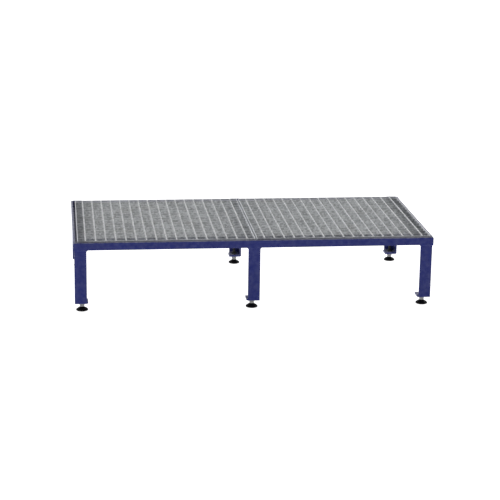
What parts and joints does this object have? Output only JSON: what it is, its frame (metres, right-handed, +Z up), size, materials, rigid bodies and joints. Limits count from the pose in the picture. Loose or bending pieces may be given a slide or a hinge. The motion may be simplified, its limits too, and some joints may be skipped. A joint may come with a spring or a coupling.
{
  "type": "work platform bench",
  "caption": "Low steel work platform: welded angle frame on angle legs, drop-in galvanised gratings and height-adjustable swivel feet.",
  "frame": {"origin": "on the floor under the middle of the deck, at rest with every foot screwed right in", "axes": "+X along the long side of the deck, +Y towards the back, +Z up"},
  "size_m": [1.2, 0.6, 0.24],
  "materials": {
    "blue_powder_coat": "semi-gloss ultramarine powder coat",
    "galvanised_steel": "hot-dip galvanised, dull",
    "zinc_plated_steel": "bright zinc plate",
    "black_plastic": "fine moulded texture",
    "black_rubber": "matt"
  },
  "bodies": {
    "frame": {"rim_front": "blue_powder_coat", "rim_back": "blue_powder_coat", "rim_left": "blue_powder_coat", "rim_right": "blue_powder_coat", "cross_member": "blue_powder_coat", "leg_front_left": "blue_powder_coat", "foot_plate_front_left": "blue_powder_coat", "leg_front_middle": "blue_powder_coat", "foot_plate_front_middle": "blue_powder_coat", "leg_front_right": "blue_powder_coat", "foot_plate_front_right": "blue_powder_coat", "leg_back_left": "blue_powder_coat", "foot_plate_back_left": "blue_powder_coat", "leg_back_middle": "blue_powder_coat", "foot_plate_back_middle": "blue_powder_coat", "leg_back_right": "blue_powder_coat", "foot_plate_back_right": "blue_powder_coat"},
    "spindle_front_left": {"spindle_front_left": "zinc_plated_steel"},
    "height_nut_front_left": {"height_nut_front_left": "zinc_plated_steel"},
    "lock_nut_front_left": {"lock_nut_front_left": "zinc_plated_steel"},
    "pad_front_left": {"pad_front_left": "black_plastic", "sole_front_left": "black_rubber"},
    "spindle_front_middle": {"spindle_front_middle": "zinc_plated_steel"},
    "height_nut_front_middle": {"height_nut_front_middle": "zinc_plated_steel"},
    "lock_nut_front_middle": {"lock_nut_front_middle": "zinc_plated_steel"},
    "pad_front_middle": {"pad_front_middle": "black_plastic", "sole_front_middle": "black_rubber"},
    "spindle_front_right": {"spindle_front_right": "zinc_plated_steel"},
    "height_nut_front_right": {"height_nut_front_right": "zinc_plated_steel"},
    "lock_nut_front_right": {"lock_nut_front_right": "zinc_plated_steel"},
    "pad_front_right": {"pad_front_right": "black_plastic", "sole_front_right": "black_rubber"},
    "spindle_back_left": {"spindle_back_left": "zinc_plated_steel"},
    "height_nut_back_left": {"height_nut_back_left": "zinc_plated_steel"},
    "lock_nut_back_left": {"lock_nut_back_left": "zinc_plated_steel"},
    "pad_back_left": {"pad_back_left": "black_plastic", "sole_back_left": "black_rubber"},
    "spindle_back_middle": {"spindle_back_middle": "zinc_plated_steel"},
    "height_nut_back_middle": {"height_nut_back_middle": "zinc_plated_steel"},
    "lock_nut_back_middle": {"lock_nut_back_middle": "zinc_plated_steel"},
    "pad_back_middle": {"pad_back_middle": "black_plastic", "sole_back_middle": "black_rubber"},
    "spindle_back_right": {"spindle_back_right": "zinc_plated_steel"},
    "height_nut_back_right": {"height_nut_back_right": "zinc_plated_steel"},
    "lock_nut_back_right": {"lock_nut_back_right": "zinc_plated_steel"},
    "pad_back_right": {"pad_back_right": "black_plastic", "sole_back_right": "black_rubber"},
    "grating_left": {"grating_left_bearing_bars": "galvanised_steel", "grating_left_cross_rods": "galvanised_steel", "grating_left_edge_bars": "galvanised_steel"},
    "grating_right": {"grating_right_bearing_bars": "galvanised_steel", "grating_right_cross_rods": "galvanised_steel", "grating_right_edge_bars": "galvanised_steel"}
  },
  "joints": [
    {"name": "front_left_height", "type": "slide", "parent": "frame", "child": "spindle_front_left", "axis": [0, 0, -1], "range_m": [0, 0.035]},
    {"name": "front_left_height_nut_turn", "type": "hinge", "parent": "frame", "child": "height_nut_front_left", "pos_m": [-0.573, -0.273, 0.024], "axis": [0, 0, 1], "range_deg": [-5, 8450]},
    {"name": "front_left_lock_nut_turn", "type": "hinge", "parent": "frame", "child": "lock_nut_front_left", "pos_m": [-0.573, -0.273, 0.037], "axis": [0, 0, 1], "range_deg": [-5, 8450]},
    {"name": "front_left_pad_tilt", "type": "hinge", "parent": "spindle_front_left", "child": "pad_front_left", "pos_m": [-0.573, -0.273, 0.0076], "axis": [1, 0, 0], "range_deg": [-8, 8]},
    {"name": "front_middle_height", "type": "slide", "parent": "frame", "child": "spindle_front_middle", "axis": [0, 0, -1], "range_m": [0, 0.035]},
    {"name": "front_middle_height_nut_turn", "type": "hinge", "parent": "frame", "child": "height_nut_front_middle", "pos_m": [-0.0075, -0.273, 0.024], "axis": [0, 0, 1], "range_deg": [-5, 8450]},
    {"name": "front_middle_lock_nut_turn", "type": "hinge", "parent": "frame", "child": "lock_nut_front_middle", "pos_m": [-0.0075, -0.273, 0.037], "axis": [0, 0, 1], "range_deg": [-5, 8450]},
    {"name": "front_middle_pad_tilt", "type": "hinge", "parent": "spindle_front_middle", "child": "pad_front_middle", "pos_m": [-0.0075, -0.273, 0.0076], "axis": [1, 0, 0], "range_deg": [-8, 8]},
    {"name": "front_right_height", "type": "slide", "parent": "frame", "child": "spindle_front_right", "axis": [0, 0, -1], "range_m": [0, 0.035]},
    {"name": "front_right_height_nut_turn", "type": "hinge", "parent": "frame", "child": "height_nut_front_right", "pos_m": [0.573, -0.273, 0.024], "axis": [0, 0, 1], "range_deg": [-5, 8450]},
    {"name": "front_right_lock_nut_turn", "type": "hinge", "parent": "frame", "child": "lock_nut_front_right", "pos_m": [0.573, -0.273, 0.037], "axis": [0, 0, 1], "range_deg": [-5, 8450]},
    {"name": "front_right_pad_tilt", "type": "hinge", "parent": "spindle_front_right", "child": "pad_front_right", "pos_m": [0.573, -0.273, 0.0076], "axis": [1, 0, 0], "range_deg": [-8, 8]},
    {"name": "back_left_height", "type": "slide", "parent": "frame", "child": "spindle_back_left", "axis": [0, 0, -1], "range_m": [0, 0.035]},
    {"name": "back_left_height_nut_turn", "type": "hinge", "parent": "frame", "child": "height_nut_back_left", "pos_m": [-0.573, 0.273, 0.024], "axis": [0, 0, 1], "range_deg": [-5, 8450]},
    {"name": "back_left_lock_nut_turn", "type": "hinge", "parent": "frame", "child": "lock_nut_back_left", "pos_m": [-0.573, 0.273, 0.037], "axis": [0, 0, 1], "range_deg": [-5, 8450]},
    {"name": "back_left_pad_tilt", "type": "hinge", "parent": "spindle_back_left", "child": "pad_back_left", "pos_m": [-0.573, 0.273, 0.0076], "axis": [1, 0, 0], "range_deg": [-8, 8]},
    {"name": "back_middle_height", "type": "slide", "parent": "frame", "child": "spindle_back_middle", "axis": [0, 0, -1], "range_m": [0, 0.035]},
    {"name": "back_middle_height_nut_turn", "type": "hinge", "parent": "frame", "child": "height_nut_back_middle", "pos_m": [-0.0075, 0.273, 0.024], "axis": [0, 0, 1], "range_deg": [-5, 8450]},
    {"name": "back_middle_lock_nut_turn", "type": "hinge", "parent": "frame", "child": "lock_nut_back_middle", "pos_m": [-0.0075, 0.273, 0.037], "axis": [0, 0, 1], "range_deg": [-5, 8450]},
    {"name": "back_middle_pad_tilt", "type": "hinge", "parent": "spindle_back_middle", "child": "pad_back_middle", "pos_m": [-0.0075, 0.273, 0.0076], "axis": [1, 0, 0], "range_deg": [-8, 8]},
    {"name": "back_right_height", "type": "slide", "parent": "frame", "child": "spindle_back_right", "axis": [0, 0, -1], "range_m": [0, 0.035]},
    {"name": "back_right_height_nut_turn", "type": "hinge", "parent": "frame", "child": "height_nut_back_right", "pos_m": [0.573, 0.273, 0.024], "axis": [0, 0, 1], "range_deg": [-5, 8450]},
    {"name": "back_right_lock_nut_turn", "type": "hinge", "parent": "frame", "child": "lock_nut_back_right", "pos_m": [0.573, 0.273, 0.037], "axis": [0, 0, 1], "range_deg": [-5, 8450]},
    {"name": "back_right_pad_tilt", "type": "hinge", "parent": "spindle_back_right", "child": "pad_back_right", "pos_m": [0.573, 0.273, 0.0076], "axis": [1, 0, 0], "range_deg": [-8, 8]},
    {"name": "grating_left_lift", "type": "slide", "parent": "frame", "child": "grating_left", "axis": [0, 0, 1], "range_m": [0, 0.06]},
    {"name": "grating_right_lift", "type": "slide", "parent": "frame", "child": "grating_right", "axis": [0, 0, 1], "range_m": [0, 0.06]}
  ],
  "couplings": [
    {"joint": "front_left_height_nut_turn", "follows": "front_left_height", "rad_per_m": 4188.8},
    {"joint": "front_left_lock_nut_turn", "follows": "front_left_height", "rad_per_m": 4188.8},
    {"joint": "front_middle_height_nut_turn", "follows": "front_middle_height", "rad_per_m": 4188.8},
    {"joint": "front_middle_lock_nut_turn", "follows": "front_middle_height", "rad_per_m": 4188.8},
    {"joint": "front_right_height_nut_turn", "follows": "front_right_height", "rad_per_m": 4188.8},
    {"joint": "front_right_lock_nut_turn", "follows": "front_right_height", "rad_per_m": 4188.8},
    {"joint": "back_left_height_nut_turn", "follows": "back_left_height", "rad_per_m": 4188.8},
    {"joint": "back_left_lock_nut_turn", "follows": "back_left_height", "rad_per_m": 4188.8},
    {"joint": "back_middle_height_nut_turn", "follows": "back_middle_height", "rad_per_m": 4188.8},
    {"joint": "back_middle_lock_nut_turn", "follows": "back_middle_height", "rad_per_m": 4188.8},
    {"joint": "back_right_height_nut_turn", "follows": "back_right_height", "rad_per_m": 4188.8},
    {"joint": "back_right_lock_nut_turn", "follows": "back_right_height", "rad_per_m": 4188.8}
  ]
}
